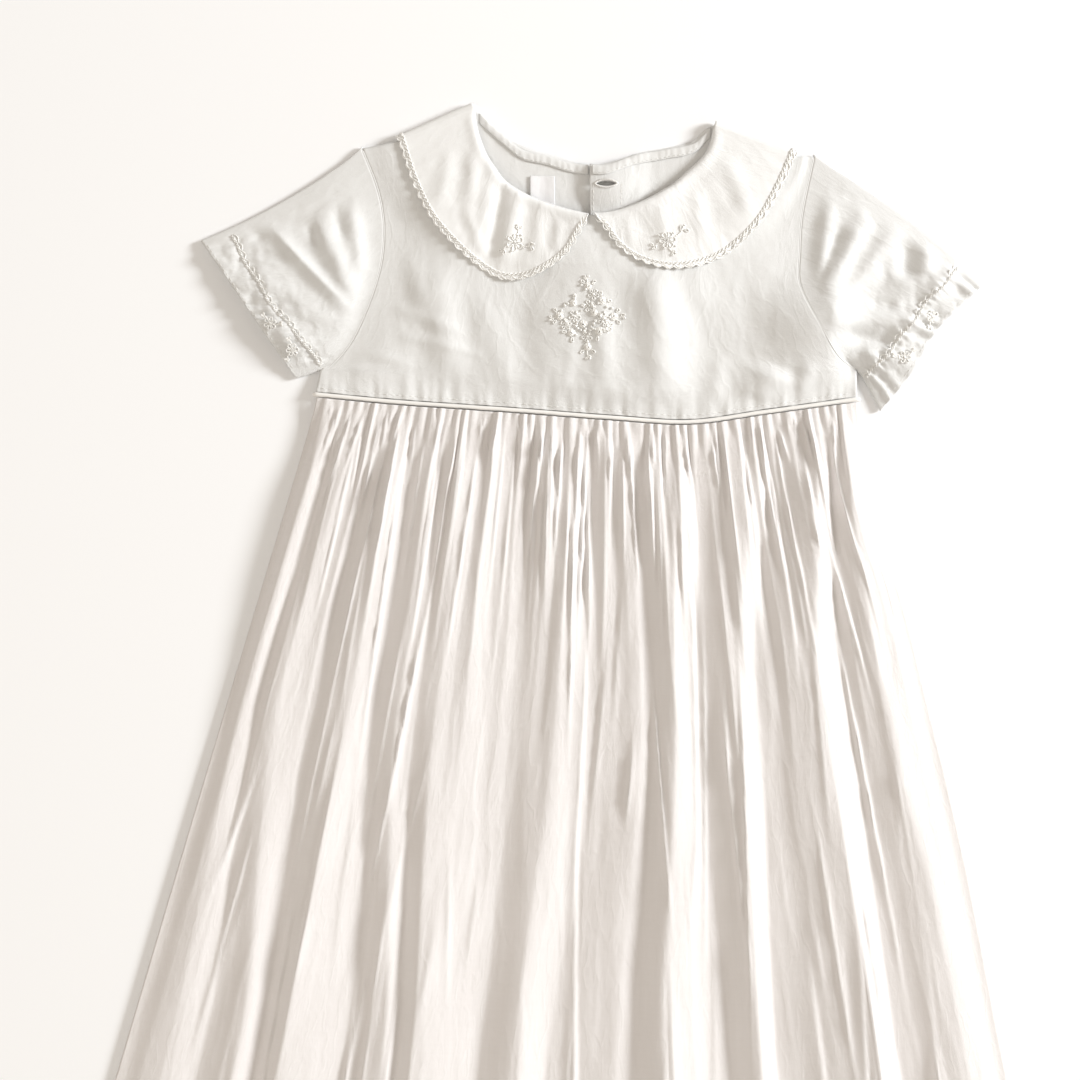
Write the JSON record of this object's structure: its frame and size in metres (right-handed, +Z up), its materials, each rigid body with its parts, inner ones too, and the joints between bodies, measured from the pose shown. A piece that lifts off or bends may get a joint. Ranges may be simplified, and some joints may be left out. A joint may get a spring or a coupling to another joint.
{
  "type": "christening gown",
  "caption": "Long white short-sleeved christening gown laid flat, with a round yoke bodice, flat round collar and a gathered skirt.",
  "frame": {"origin": "middle of the gown's outline, on the surface it lies on", "axes": "+X to the right as the gown is seen from the front, +Y from the hem to the neck, +Z up from the surface through the gown's front"},
  "size_m": [0.5782, 0.7888, 0.0145],
  "materials": {
    "cotton_lawn": "fine plain-weave white cotton with a faint sheen",
    "collar_cotton": "fine white cotton, two layers pressed together",
    "skirt_lawn": "thin white cotton lawn, slightly sheer",
    "piping_cotton": "white cotton pulled tight over a cord",
    "label_tape": "plain white woven tape",
    "button_shell": "polished pale shell look"
  },
  "bodies": {
    "root": {"bodice_front": "cotton_lawn", "bodice_back_left": "cotton_lawn", "bodice_back_right": "cotton_lawn", "collar_left": "collar_cotton", "collar_right": "collar_cotton", "sleeve_left": "cotton_lawn", "sleeve_right": "cotton_lawn", "skirt_front": "skirt_lawn", "skirt_back": "skirt_lawn", "waist_piping": "piping_cotton", "neck_binding_left": "cotton_lawn", "neck_binding_right": "cotton_lawn", "neck_label": "label_tape", "button_top": "button_shell", "button_middle": "button_shell", "button_bottom": "button_shell"}
  },
  "joints": []
}
